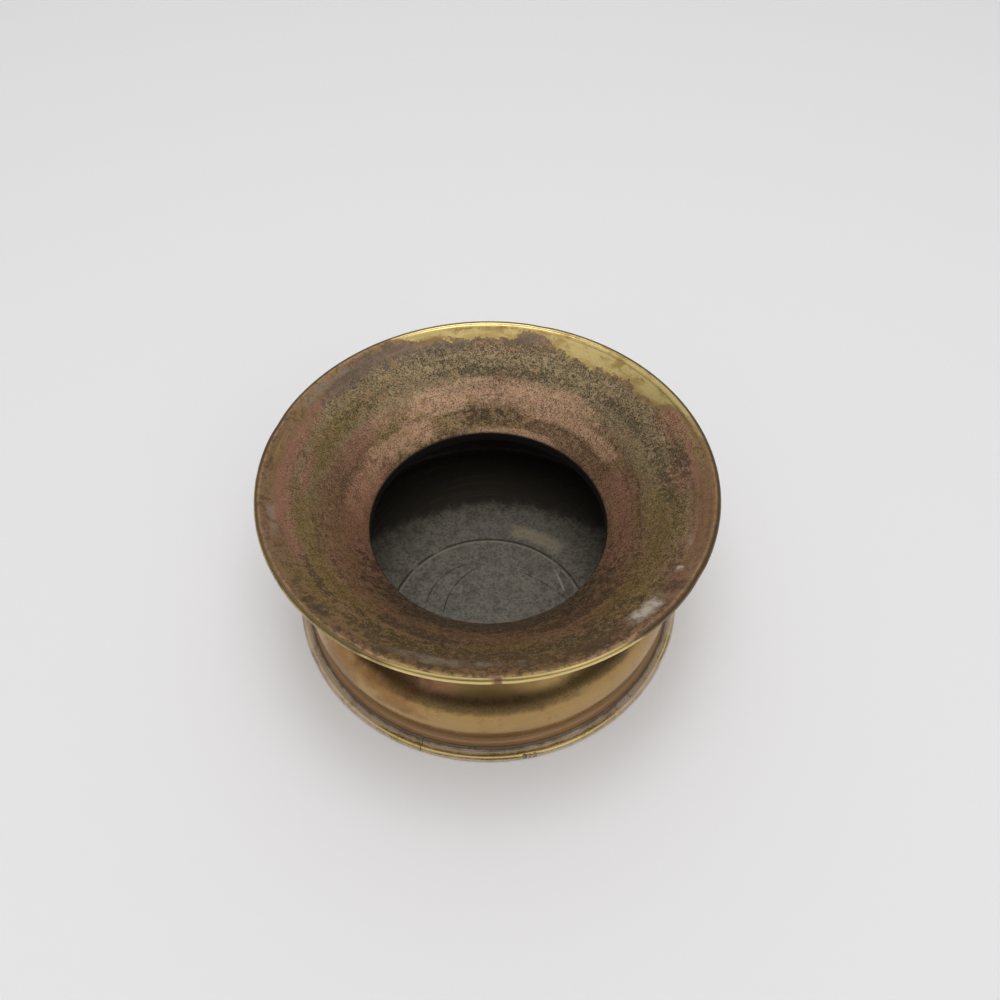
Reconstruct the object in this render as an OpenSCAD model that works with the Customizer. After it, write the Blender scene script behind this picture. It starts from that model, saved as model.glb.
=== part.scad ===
// Low spittoon of spun brass: a flared mouth seated in the neck of a bellied bowl,
// on a pan whose floor, ledge and rolled foot are one spinning, weighted from below.
// Millimetres, +Z up, origin on the axis at the surface it stands on.
// A profile is a list of [radius, height] points, spun about the axis.

/* [Mouth] */
// Diameter over the rolled rim
rim_d = 203; // [190:1:215]
// Height from the surface it stands on to the top of the rim
height = 91; // [86:0.5:98]
// Slope of the mouth where it meets the rolled rim, in degrees
rim_slope = 31.5; // [27:0.5:36]
// Radius of the mouth's trumpet curve
flare_r = 170; // [140:5:260]
// Inside diameter of the throat
throat_d = 111.8; // [104:0.2:118]
// Radius of the bend from the mouth into the throat
throat_bend_r = 1.6; // [1.2:0.1:3]
// Length of the straight collar below that bend
collar_h = 4; // [3:0.5:6]

/* [Sheet and wire] */
// Thickness of the spun sheet
sheet = 0.9; // [0.7:0.05:1.1]
// Diameter of the wire in the rolled rim
rim_wire_d = 2.2; // [1.8:0.1:2.8]
// Diameter of the wire in the rolled foot
foot_wire_d = 1.8; // [1.5:0.1:2.2]
// How far the sheet is rolled round each wire, in degrees
curl = 285; // [250:5:290]
// Gap between each wire's two ends
wire_end_gap = 0.6; // [0.2:0.1:2]
// Clearance round each wire
wire_clear = 0.03; // [0.01:0.01:0.08]

/* [Bowl] */
// Diameter over the belly
belly_d = 182; // [176:1:188]
// Height of the belly's widest line
belly_z = 20; // [17:0.5:24]
// Length of the straight neck that sleeves the collar
neck_h = 3; // [2:0.25:4]
// Radius of the cove where the neck turns out into the shoulder
shoulder_cove_r = 3; // [2:0.25:5]
// Radius of the cove between the belly and the flange
waist_cove_r = 2.2; // [1.6:0.1:3]
// Width of the flange's flat edge outside that cove
flange_w = 0.85; // [0.4:0.05:1.5]
// Clearance between the collar and the neck
seam_clear = 0.05; // [0.03:0.01:0.1]

/* [Pan and foot] */
// How far the rolled foot reaches out beyond the bowl's flange
ledge_w = 5.4; // [5:0.1:8]
// Height of the seat that the bowl's flange stands on
seat_z = 5.2; // [4.8:0.1:6.2]
// Height of the floor inside the bowl
floor_z = 7.1; // [6.5:0.1:8.5]
// Radial width of the seat under the bowl's flange
seat_w = 6.2; // [5.4:0.1:8]
// Radial width of the step from the floor down to the seat
step_w = 2.4; // [2:0.1:3]
// Radius of the step's two bends
step_bend_r = 1.2; // [1:0.1:1.4]
// Radius of the bend where the seat turns down into the ledge
ledge_bend_r = 1.3; // [1.1:0.1:1.6]
// Radius of the groove between the ledge and the rolled foot
groove_r = 0.8; // [0.5:0.05:1]
// How far the groove's centre line lies inside the foot's centre line
groove_in = 1.7; // [1.5:0.1:2]
// Depth of the flat worn on the underside of the rolled foot
foot_wear = 0.12; // [0.06:0.02:0.2]

/* [Ballast and cover] */
// Radial gap between the cast ballast disc and the edge of the floor above it
ballast_gap = 5; // [4:0.5:20]
// Chamfer round the ballast disc
ballast_chamfer = 0.8; // [0.4:0.1:1.2]
// Clearance above and below the ballast disc
ballast_clear = 0.15; // [0.1:0.05:0.3]
// Thickness of the cover's sheet
cover_sheet = 0.6; // [0.4:0.05:0.8]
// Height of the cover's underside above the surface
cover_z = 1.1; // [0.8:0.1:1.4]
// Height of the cover's turned edge
cover_edge_h = 1.7; // [1.4:0.1:1.9]
// Radius of the bend at the cover's turned edge
cover_bend_r = 0.9; // [0.8:0.05:1]
// Gap between the cover's edge and the rolled foot
cover_gap = 0.9; // [0.7:0.05:1.1]

/* [Solder] */
// Reach of the fillet down the neck and along the mouth
throat_fillet = 1.8; // [1:0.1:2.2]
// Height of the fillet inside the waist, above the floor
waist_fillet = 2; // [1.2:0.1:3]
// Clearance between the solder and what it joins
solder_clear = 0.02; // [0.01:0.01:0.04]

/* [Hidden] */
turn_fn = 180;
bend_steps = 8;
curve_steps = 20;
curl_steps = 36;

brass = "#B5924C";
dark_brass = "#7E6440";
solder_grey = "#8E8C86";
iron = "#4A4744";

// Rolled edges: the sheet lies round the wire, and the bead is what shows
rim_bead = rim_wire_d / 2 + wire_clear + sheet;
rim_c = [rim_d / 2 - rim_bead, height - rim_bead];
foot_bead = foot_wire_d / 2 + wire_clear + sheet;

// Mouth: bend, trumpet curve and rolled rim are tangent arcs that all turn the same way
throat_r = throat_d / 2;
rim_join_r = rim_c[0] - rim_bead * sin(rim_slope);
throat_slope = asin((sin(rim_slope) + (rim_join_r - throat_r - throat_bend_r) / flare_r)
                    / (1 - throat_bend_r / flare_r));
flare_c = rim_c + (flare_r - rim_bead) * [sin(rim_slope), -cos(rim_slope)];
throat_bend_c = flare_c - (flare_r - throat_bend_r) * [sin(throat_slope), -cos(throat_slope)];
collar_z = throat_bend_c[1] - collar_h;

// Bowl: neck, shoulder cove, belly and waist cove are tangent, which sets the belly's radius
neck_in_r = throat_r + sheet + seam_clear;
neck_r = neck_in_r + sheet;
neck_top = throat_bend_c[1] + sheet / 4;
shoulder_c = [neck_r + shoulder_cove_r, neck_top - neck_h];
belly_span = belly_d / 2 - shoulder_c[0];
belly_rise = shoulder_c[1] - belly_z;
belly_r = (belly_span ^ 2 + belly_rise ^ 2 - shoulder_cove_r ^ 2) / (2 * (belly_span + shoulder_cove_r));
belly_c = [belly_d / 2 - belly_r, belly_z];
waist_cz = seat_z + sheet + waist_cove_r;
waist_c = [belly_c[0] + sqrt((belly_r + waist_cove_r) ^ 2 - (belly_z - waist_cz) ^ 2), waist_cz];
flange_r = waist_c[0] + flange_w;
shoulder_angle = direction(belly_c, shoulder_c);
waist_angle = direction(belly_c, waist_c);

// Pan: floor and foot are set out from the flange, and the straight run out of the groove is tangent
// to the rolled foot
floor_r = flange_r - seat_w - step_w;
foot_r = flange_r + ledge_w;
foot_c = [foot_r - foot_bead, foot_bead - foot_wear];
groove = [foot_c[0] - groove_in, foot_c[1] + foot_bead - groove_r / 2];
foot_slope = direction(groove, foot_c) + asin(foot_bead / norm(foot_c - groove));

// Cover: a dish turned up at its edge, inside the rolled foot
cover_r = foot_c[0] - foot_bead - cover_gap;

function direction(a, b) = atan2(b[1] - a[1], b[0] - a[0]);
function unit(v) = v / norm(v);
function left(v) = [-v[1], v[0]];
function reversed(p) = [for (i = [len(p) - 1 : -1 : 0]) p[i]];
function joined(paths) = [for (p = paths) for (q = p) q];

// Points of an arc about c from angle a to angle b
function arc(c, r, a, b, steps) = [for (i = [0 : steps]) let(t = a + (b - a) * i / steps) c + r * [cos(t), sin(t)]];

// A curve from a to b that bends towards m
function sag(a, m, b, steps) =
    [for (i = [0 : steps]) let(t = i / steps) (1 - t) ^ 2 * a + 2 * t * (1 - t) * m + t ^ 2 * b];

// The corner at b moved by t to the right of the way from a to c, for a sheet's other side
function moved_corner(a, b, c, t) =
    let(m = left(unit(b - a)), n = left(unit(c - b)))
    b - t * (m + n) / (1 + m * n);

// An arc of radius r in the corner at b, for a turn on the way from a to c
function bend(a, b, c, r) =
    let(
        u = unit(a - b),
        v = unit(c - b),
        half = acos(u * v) / 2,
        o = b + unit(u + v) * r / sin(half),
        start = direction(o, b + u * r / tan(half)),
        side = sign((b - a)[0] * (c - b)[1] - (b - a)[1] * (c - b)[0])
    )
    arc(o, r, start, start + side * (180 - 2 * half), bend_steps);

// A path through corners [radius, height, bend radius], moved by t to its right
function rounded(pts, t) =
    let(
        n = len(pts),
        p = [for (q = pts) [q[0], q[1]]],
        first = p[0] - t * left(unit(p[1] - p[0])),
        last = p[n - 1] - t * left(unit(p[n - 1] - p[n - 2])),
        mid = [for (i = [1 : n - 2]) moved_corner(p[i - 1], p[i], p[i + 1], t)],
        m = joined([[first], mid, [last]]),
        side = [for (i = [1 : n - 2]) sign((p[i] - p[i - 1]) * -left(p[i + 1] - p[i]))]
    )
    joined([[first],
            joined([for (i = [1 : n - 2]) bend(m[i - 1], m[i], m[i + 1], pts[i][2] + side[i - 1] * t)]),
            [last]]);

// The mouth's face, and at t = sheet its underside
function mouth_path(t) =
    joined([[[throat_r + t, collar_z]],
            arc(throat_bend_c, throat_bend_r - t, 180, 90 + throat_slope, bend_steps),
            arc(flare_c, flare_r - t, 90 + throat_slope, 90 + rim_slope, curve_steps),
            arc(rim_c, rim_bead - t, 90 + rim_slope, 90 + rim_slope - curl, curl_steps)]);

// The bowl's outside, and at t = sheet its inside
function bowl_path(t) =
    joined([[[neck_r - t, neck_top]],
            arc(shoulder_c, shoulder_cove_r + t, 180, 180 + shoulder_angle, bend_steps),
            arc(belly_c, belly_r - t, shoulder_angle, waist_angle, 2 * curve_steps),
            arc(waist_c, waist_cove_r + t, 180 + waist_angle, 270, bend_steps),
            [[flange_r, seat_z + sheet - t]]]);

pan_corners = [[0, floor_z],
               [floor_r, floor_z, step_bend_r],
               [floor_r + step_w, seat_z, step_bend_r],
               [flange_r + ledge_bend_r / 2, seat_z, ledge_bend_r],
               [groove[0], groove[1], groove_r],
               foot_c + foot_bead * [cos(90 + foot_slope), sin(90 + foot_slope)]];

// The pan's upper face with the rolled foot, and at t = sheet its underside
function pan_path(t) =
    joined([rounded(pan_corners, t),
            arc(foot_c, foot_bead - t, 90 + foot_slope, 90 + foot_slope - curl, curl_steps)]);

// The cover's underside, and at t = -cover_sheet its upper face
function cover_path(t) = rounded([[0, cover_z], [cover_r, cover_z, cover_bend_r], [cover_r, cover_z + cover_edge_h]], t);

// A ring of wire whose two ends nearly meet at the back
module wire_ring(c, wire_d) {
    gap_angle = wire_end_gap / c[0] * 180 / PI;
    rotate([0, 0, 90 + gap_angle / 2])
        rotate_extrude(angle = 360 - gap_angle, $fn = turn_fn)
            translate(c)
                circle(d = wire_d, $fn = 32);
}

module spun(profile) {
    rotate_extrude($fn = turn_fn)
        polygon(profile);
}

module funnel() {
    color(brass) spun(joined([mouth_path(0), reversed(mouth_path(sheet))]));
}

module rim_wire() {
    color(iron) wire_ring(rim_c, rim_wire_d);
}

// Fills the corner between the neck and the underside of the mouth
module throat_solder() {
    t = sheet + solder_clear;
    reach = throat_slope - throat_fillet / flare_r * 180 / PI;
    under = arc(flare_c, flare_r - t, 90 + throat_slope, 90 + reach, bend_steps);
    side = [neck_r + solder_clear, neck_top - throat_fillet];
    top = neck_top + solder_clear;
    corner = [neck_r + solder_clear, under[0][1]];
    color(solder_grey)
        spun(joined([[side, [side[0], top], [neck_r - sheet / 2, top]],
                     arc(throat_bend_c, throat_bend_r - t, 90 + throat_slope / 2, 90 + throat_slope, bend_steps),
                     under,
                     sag(under[bend_steps], corner, side, bend_steps)]));
}

module bowl_shell() {
    color(brass) spun(joined([bowl_path(0), reversed(bowl_path(sheet))]));
}

module base_pan() {
    color(brass)
        rotate_extrude($fn = turn_fn)
            difference() {
                polygon(joined([pan_path(0), reversed(pan_path(sheet))]));
                translate([foot_r - 2 * foot_bead, -foot_bead])
                    square([2 * foot_bead, foot_bead]);
            }
}

module foot_wire() {
    color(iron) wire_ring(foot_c, foot_wire_d);
}

// Fills the groove inside the waist, between the pan's step and the bowl
module waist_solder() {
    c = solder_clear;
    r = waist_cove_r + sheet + c;
    wall_top = 180 - asin((floor_z + waist_fillet - waist_c[1]) / r);
    wall = arc(waist_c, r, 268, wall_top, bend_steps);
    rim = [floor_r, floor_z + c];
    step = [floor_r + step_w, seat_z + c];
    valley = [waist_c[0] - r, floor_z + c];
    color(solder_grey)
        spun(joined([[rim],
                     [[floor_r + step_bend_r / 2, floor_z + c], [step[0] + c, step[1] + step_bend_r / 2]],
                     [step + [step_bend_r, 0]],
                     wall,
                     sag(wall[bend_steps], valley, rim, bend_steps)]));
}

// Cast disc that keeps the spittoon from tipping
module ballast() {
    low = cover_z + cover_sheet + ballast_clear;
    high = floor_z - sheet - ballast_clear;
    r = floor_r - ballast_gap;
    k = ballast_chamfer;
    color(iron)
        spun([[0, low], [r - k, low], [r, low + k], [r, high - k], [r - k, high], [0, high]]);
}

module base_cover() {
    color(dark_brass) spun(joined([cover_path(0), reversed(cover_path(-cover_sheet))]));
}

// Bead of solder between the cover's turned edge and the rolled foot
module cover_solder() {
    r = foot_bead + solder_clear;
    edge = cover_r + solder_clear;
    bead = arc(foot_c, r, 195, 222, bend_steps);
    low = [edge, cover_z + cover_bend_r];
    color(solder_grey)
        spun(joined([[[edge, bead[0][1] + cover_bend_r], low],
                     sag(low, [low[0], bead[bend_steps][1]], bead[bend_steps], bend_steps),
                     reversed(bead)]));
}

funnel();
rim_wire();
throat_solder();
bowl_shell();
base_pan();
foot_wire();
waist_solder();
ballast();
base_cover();
cover_solder();
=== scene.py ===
"""A low spittoon of spun brass, dressed around its CAD model.

Run as a script. Each sheet piece is a surface of revolution worked out from the same arcs as the
CAD model, with the slight unevenness of handwork, and wears a patina laid on in coats, some of which
paint in light and shade.
Metres, +Z up, origin on the axis at the surface the spittoon stands on, camera side at -Y.
"""

import math

import bpy
import numpy as np
from mathutils import Matrix


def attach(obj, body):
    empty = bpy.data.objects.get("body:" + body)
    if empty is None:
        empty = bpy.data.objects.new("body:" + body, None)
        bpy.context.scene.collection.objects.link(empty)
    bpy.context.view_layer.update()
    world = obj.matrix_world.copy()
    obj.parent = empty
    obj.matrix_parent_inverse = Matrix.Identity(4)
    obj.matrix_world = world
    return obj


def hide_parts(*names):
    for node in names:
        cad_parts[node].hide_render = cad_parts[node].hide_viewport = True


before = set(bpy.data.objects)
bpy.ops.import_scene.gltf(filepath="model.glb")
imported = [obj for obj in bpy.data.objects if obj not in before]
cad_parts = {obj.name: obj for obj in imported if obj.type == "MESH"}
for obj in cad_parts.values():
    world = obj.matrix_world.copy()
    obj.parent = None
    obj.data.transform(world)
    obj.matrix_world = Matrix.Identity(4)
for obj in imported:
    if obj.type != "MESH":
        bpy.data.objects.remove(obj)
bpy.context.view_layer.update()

bl_info = {
    "name": "Spun brass spittoon",
    "version": (1, 0, 0),
    "blender": (4, 5, 0),
    "location": "View3D > Sidebar > Spittoon",
    "description": "Builds a low spun brass spittoon with an aged patina around its CAD model",
    "category": "Add Mesh",
}

MM = 0.001
BODY = "root"

# Angles round the axis count from +X, so the front is at -90 degrees and the back at 90

# Steps round the axis
TURN_STEPS = 640
PAN_TURN_STEPS = 560
# Steps along the profiles: collar, throat bend, trumpet curve and curl
MOUTH_STEPS, MOUTH_UNDER_STEPS = (3, 10, 56, 30), (2, 6, 16, 24)
# Neck, coves and belly
BOWL_STEPS, BOWL_INNER_STEPS = (2, 9, 58), (2, 7, 34)
# Floor, bends and curl
PAN_STEPS, PAN_UNDER_STEPS = (30, 7, 30), (10, 5, 20)
# Edges sharper than this are shaded sharp, in degrees
SHARP_DEG = 50


def length(name, description, default_mm):
    """A size property, given in millimetres and kept in metres."""
    return bpy.props.FloatProperty(
        name=name, description=description, default=default_mm * MM, unit="LENGTH", precision=5, min=0.0
    )


def hex_colour(name, description, default):
    """A colour property kept as an sRGB hex value."""
    return bpy.props.StringProperty(name=name, description=description, default=default, maxlen=7)


def angle(name, description, default_deg):
    """An angle property, given in degrees."""
    return bpy.props.FloatProperty(
        name=name, description=description, default=math.radians(default_deg), subtype="ANGLE"
    )


class SpittoonSizes(bpy.types.PropertyGroup):
    """Sizes of the sheet pieces, the same as in the CAD model."""

    rim_r: length("Rim radius", "Outer radius of the rolled rim", 101.5)
    height: length("Height", "From the surface to the top of the rim", 91)
    rim_slope: angle("Rim slope", "Slope of the mouth at the rolled rim", 31.5)
    flare_r: length("Flare radius", "Radius of the trumpet curve of the mouth", 170)
    throat_r: length("Throat radius", "Inside radius of the throat", 55.9)
    throat_bend_r: length("Throat bend", "Radius of the bend into the throat", 1.6)
    collar_h: length("Collar", "Length of the straight collar under the throat", 4)
    sheet: length("Sheet", "Thickness of the spun sheet", 0.9)
    rim_bead_r: length("Rim bead", "Outer radius of the sheet rolled round the rim wire", 2.03)
    foot_bead_r: length("Foot bead", "Outer radius of the sheet rolled round the foot wire", 1.83)
    curl: angle("Curl", "How far the sheet is rolled round a wire", 285)
    belly_out_r: length("Belly", "Radius of the widest line of the bowl", 91)
    belly_z: length("Belly height", "Height of the widest line of the bowl", 20)
    neck_h: length("Neck", "Length of the straight neck round the collar", 3)
    shoulder_cove_r: length("Shoulder cove", "Radius of the cove under the neck", 3)
    waist_cove_r: length("Waist cove", "Radius of the cove under the belly", 2.2)
    flange_w: length("Flange", "Width of the flat edge outside the waist cove", 0.85)
    seam_clear: length("Seam", "Clearance between collar and neck", 0.05)
    ledge_w: length("Ledge", "How far the rolled foot reaches out beyond the flange", 5.4)
    foot_wear: length("Foot wear", "Depth of the flat worn under the foot", 0.12)
    seat_z: length("Seat", "Height of the seat under the flange", 5.2)
    floor_z: length("Floor", "Height of the floor inside", 7.1)
    seat_w: length("Seat width", "Radial width of the seat under the flange", 6.2)
    step_w: length("Step", "Radial width of the step from floor to seat", 2.4)
    step_bend_r: length("Step bend", "Radius of the bends of that step", 1.2)
    ledge_bend_r: length("Ledge bend", "Radius of the bend from seat to ledge", 1.3)
    groove_r: length("Groove", "Radius of the groove inside the foot bead", 0.8)
    groove_in: length("Groove place", "How far the groove lies inside the bead", 1.7)


class SpittoonColours(bpy.types.PropertyGroup):
    """Colours of the metal and of the coats on it."""

    bare: hex_colour("Bare brass", "Yellow brass where it is rubbed clean", "#D0B97C")
    # Painted highlight: the bright gold laid along the front of the rolled rim
    lip: hex_colour("Rubbed lip", "Bright gold of the rim's rubbed front", "#EBD28C")
    old_gold: hex_colour("Old gold", "Brass under an old, thin tarnish", "#C9A770")
    brown: hex_colour("Brown coat", "Main brown of the mouth", "#A07E5F")
    umber: hex_colour("Umber coat", "Darker brown of the mouth", "#5C4836")
    salmon: hex_colour("Salmon coat", "Pale copper where zinc has left the brass", "#E6B794")
    rose: hex_colour("Rose coat", "Redder copper bloom", "#B9806C")
    olive: hex_colour("Olive coat", "Greenish brown bands", "#98804A")
    plum: hex_colour("Plum coat", "Grey purple brown patch", "#7D6B5C")
    soot: hex_colour("Soot", "Nearly black specks and bands", "#2B251D")
    tan: hex_colour("Tan coat", "Light olive brown of the back of the mouth", "#A8946F")
    copper: hex_colour("Copper coat", "Brown copper tarnish", "#9B7357")
    sand: hex_colour("Sand specks", "Pale specks in the tarnish", "#CDBA94")
    stain: hex_colour("Stain", "Thin brown smear on clean metal", "#9C7F4C")
    chalk: hex_colour("Chalk", "Whitish mineral crust", "#C9BFB0")
    inside: hex_colour("Inside coat", "Dull grey brown of the floor inside", "#6C675C")
    amber: hex_colour("Amber tarnish", "Orange brown of the belly's left", "#95683A")
    # Painted shade: the black laid on the collar inside the throat
    pitch: hex_colour("Pitch", "Black of the throat's collar", "#15120F")
    # Painted shade: the nearly black of the wall inside and its solder; on the floor inside it also darkens
    # blots
    cellar: hex_colour("Wall inside", "Nearly black wall inside", "#302C26")
    ledge: hex_colour("Ledge", "Pinkish grey brass of the ledge", "#DCC8AE")
    solder: hex_colour("Solder", "Dull soft solder", "#665E54")
    iron: hex_colour("Iron", "Cast iron and iron wire", "#3E3A36")
    floor: hex_colour("Stage floor", "Pale floor", "#F1F0F1")


def srgb(value):
    """An sRGB hex value as a linear colour with alpha."""
    parts = [int(value[i : i + 2], 16) / 255 for i in (1, 3, 5)]
    return [p / 12.92 if p <= 0.04045 else ((p + 0.055) / 1.055) ** 2.4 for p in parts] + [1.0]


# Profiles: arrays of [radius, height], as arcs and corners


def direction(a, b):
    """Angle of the way from a to b."""
    return math.atan2(b[1] - a[1], b[0] - a[0])


def polar(r, angle):
    """The point at distance r and an angle from the origin."""
    return np.array([r * math.cos(angle), r * math.sin(angle)])


def left(v):
    """v turned a quarter turn to the left."""
    return np.array([-v[1], v[0]])


def unit(v):
    """v at length 1."""
    return np.asarray(v, float) / np.linalg.norm(v)


def arc(centre, r, start, end, steps):
    """Centre plus r times cosine and sine, from angle start to angle end."""
    t = np.linspace(start, end, steps + 1)
    return np.asarray(centre) + r * np.stack([np.cos(t), np.sin(t)], axis=1)


def run(a, b, steps):
    """Even points on the straight line from a to b, without b."""
    t = np.linspace(0, 1, steps + 1)[:-1, None]
    return np.asarray(a) + t * (np.asarray(b) - np.asarray(a))


def bend(a, b, c, r, steps):
    """The arc of radius r that rounds the corner at b between a and c."""
    u, v = unit(a - b), unit(c - b)
    half = math.acos(float(u @ v)) / 2
    centre = b + unit(u + v) * r / math.sin(half)
    start = direction(centre, b + u * r / math.tan(half))
    return arc(centre, r, start, start + math.copysign(math.pi - 2 * half, left(b - a) @ (c - b)), steps)


def rounded(corners, shift, steps):
    """A path through corners [radius, height, bend radius], moved sideways by shift to its right."""
    p = [np.array(q[:2], float) for q in corners]
    moved = [p[0] - shift * left(unit(p[1] - p[0]))]
    turns = []
    for a, b, c in zip(p, p[1:], p[2:]):
        m, k = left(unit(b - a)), left(unit(c - b))
        moved.append(b - shift * (m + k) / (1 + m @ k))
        turns.append(math.copysign(1, m @ (c - b)))
    moved.append(p[-1] - shift * left(unit(p[-1] - p[-2])))
    bends = [
        bend(moved[i - 1], moved[i], moved[i + 1], corners[i][2] + turns[i - 1] * shift, steps)
        for i in range(1, len(p) - 1)
    ]
    return np.concatenate([moved[:1], *bends, moved[-1:]])


def mouth_geometry(s):
    """Centres and slopes of the mouth's tangent arcs: throat bend, trumpet curve and rolled rim."""
    rim_c = np.array([s.rim_r - s.rim_bead_r, s.height - s.rim_bead_r])
    join_r = rim_c[0] - s.rim_bead_r * math.sin(s.rim_slope)
    rise = math.sin(s.rim_slope) + (join_r - s.throat_r - s.throat_bend_r) / s.flare_r
    throat_slope = math.asin(rise / (1 - s.throat_bend_r / s.flare_r))
    flare_c = rim_c + polar(s.flare_r - s.rim_bead_r, s.rim_slope - math.pi / 2)
    throat_c = flare_c - polar(s.flare_r - s.throat_bend_r, throat_slope - math.pi / 2)
    return rim_c, flare_c, throat_c, throat_slope


def mouth_side(s, shift, steps):
    """Collar, throat bend, trumpet curve and curl, moved by shift into the sheet."""
    rim_c, flare_c, throat_c, throat_slope = mouth_geometry(s)
    up = math.pi / 2
    collar, bend_n, flare_n, curl_n = steps
    foot_of_collar = [s.throat_r + shift, throat_c[1] - s.collar_h]
    return np.concatenate(
        [
            run(foot_of_collar, [s.throat_r + shift, throat_c[1]], collar),
            arc(throat_c, s.throat_bend_r - shift, math.pi, up + throat_slope, bend_n)[:-1],
            arc(flare_c, s.flare_r - shift, up + throat_slope, up + s.rim_slope, flare_n)[:-1],
            arc(rim_c, s.rim_bead_r - shift, up + s.rim_slope, up + s.rim_slope - s.curl, curl_n),
        ]
    )


def bowl_side(s, shift, steps):
    """Neck, shoulder cove, belly, waist cove and flange, moved by shift into the sheet."""
    throat_c = mouth_geometry(s)[2]
    neck_r = s.throat_r + 2 * s.sheet + s.seam_clear
    neck_top = throat_c[1] + s.sheet / 4
    shoulder_c = np.array([neck_r + s.shoulder_cove_r, neck_top - s.neck_h])
    span = s.belly_out_r - shoulder_c[0]
    rise = shoulder_c[1] - s.belly_z
    belly_r = (span**2 + rise**2 - s.shoulder_cove_r**2) / (2 * (span + s.shoulder_cove_r))
    belly_c = np.array([s.belly_out_r - belly_r, s.belly_z])
    waist_z = s.seat_z + s.sheet + s.waist_cove_r
    reach = math.sqrt((belly_r + s.waist_cove_r) ** 2 - (s.belly_z - waist_z) ** 2)
    waist_c = np.array([belly_c[0] + reach, waist_z])
    top, low = direction(belly_c, shoulder_c), direction(belly_c, waist_c)
    neck_n, bend_n, belly_n = steps
    flange_z = s.seat_z + s.sheet - shift
    return np.concatenate(
        [
            run([neck_r - shift, neck_top], [neck_r - shift, shoulder_c[1]], neck_n),
            arc(shoulder_c, s.shoulder_cove_r + shift, math.pi, math.pi + top, bend_n)[:-1],
            arc(belly_c, belly_r - shift, top, low, belly_n)[:-1],
            arc(waist_c, s.waist_cove_r + shift, math.pi + low, 1.5 * math.pi, bend_n),
            [[waist_c[0] + s.flange_w, flange_z]],
        ]
    )


def flange_edge(s):
    """Radius of the bowl's outer edge at the flange, which the pan is sized from."""
    return bowl_side(s, 0, (1, 1, 1))[-1][0]


def pan_side(s, shift, steps):
    """Floor, step, seat, ledge, groove and curl, moved by shift into the sheet."""
    flange_r = flange_edge(s)
    foot_c = np.array([flange_r + s.ledge_w - s.foot_bead_r, s.foot_bead_r - s.foot_wear])
    groove = np.array([foot_c[0] - s.groove_in, foot_c[1] + s.foot_bead_r - s.groove_r / 2])
    slope = direction(groove, foot_c) + math.asin(s.foot_bead_r / np.hypot(*(foot_c - groove)))
    floor_n, bend_n, curl_n = steps
    step_r = flange_r - s.seat_w
    corners = [
        [0, s.floor_z],
        [step_r - s.step_w, s.floor_z, s.step_bend_r],
        [step_r, s.seat_z, s.step_bend_r],
        [flange_r + s.ledge_bend_r / 2, s.seat_z, s.ledge_bend_r],
        [*groove, s.groove_r],
        foot_c + polar(s.foot_bead_r, math.pi / 2 + slope),
    ]
    path = rounded(corners, shift, bend_n)
    return np.concatenate(
        [
            run(path[0], path[1], floor_n),
            path[1:-1],
            arc(foot_c, s.foot_bead_r - shift, math.pi / 2 + slope, math.pi / 2 + slope - s.curl, curl_n),
        ]
    )


# Handwork: how far a spun surface strays inwards and down at most, and the height above which it goes down
STRAY_IN, STRAY_DOWN, STRAY_DOWN_ABOVE = 0.15 * MM, 0.12 * MM, 60 * MM


def stray(r, z, theta):
    """Slow waves round the axis that grow with the radius, always inwards and down."""
    share = r / np.max(r)
    wave = 0.5 + 0.22 * np.cos(2 * theta + 0.7) + 0.16 * np.cos(3 * theta - 1.1)
    wave += 0.12 * np.cos(5 * theta + 2)
    tilt = 0.5 + 0.3 * np.sin(theta + 0.4) + 0.2 * np.sin(4 * theta - 0.9)
    return r - STRAY_IN * share**2 * wave, z - STRAY_DOWN * share**4 * tilt * (z > STRAY_DOWN_ABOVE)


def dints(r, z, theta, places):
    """Small dents: at each place the surface moves by depth towards the axis and down, fading as a bell."""
    for at_deg, *sizes in places:
        at_r, at_z, wide, depth = np.array(sizes) * MM
        off = (theta - math.radians(at_deg) + math.pi) % (2 * math.pi) - math.pi
        far = (off * at_r) ** 2 + (r - at_r) ** 2 + (z - at_z) ** 2
        bell = depth * np.exp(-far / (2 * wide**2))
        r, z = r - bell, z - 0.4 * bell * (z > wide)
    return r, z


# Degrees, and radius, height, half width and depth in millimetres
RIM_DINTS = [
    (-88, 101.2, 89.5, 2.2, 0.28), (-34, 101.2, 89.5, 3.5, 0.22),
    (163, 101.2, 89.5, 4, 0.25), (74, 101.2, 89.5, 3, 0.20),
]
FOOT_DINTS = [
    (-81, 96.5, 3, 0.9, 0.35), (-79.6, 96.5, 3.2, 0.7, 0.30), (-78, 96.5, 3, 0.8, 0.25),
    (-30, 96.5, 2.4, 2.5, 0.25), (-151, 96.5, 2.4, 3, 0.22),
]
BELLY_DINTS = [
    (-58, 90, 26, 6, 0.18), (-121, 89.5, 29, 7, 0.16),
    (35, 90.5, 20, 8, 0.25), (150, 88, 33, 6, 0.20),
]


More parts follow.
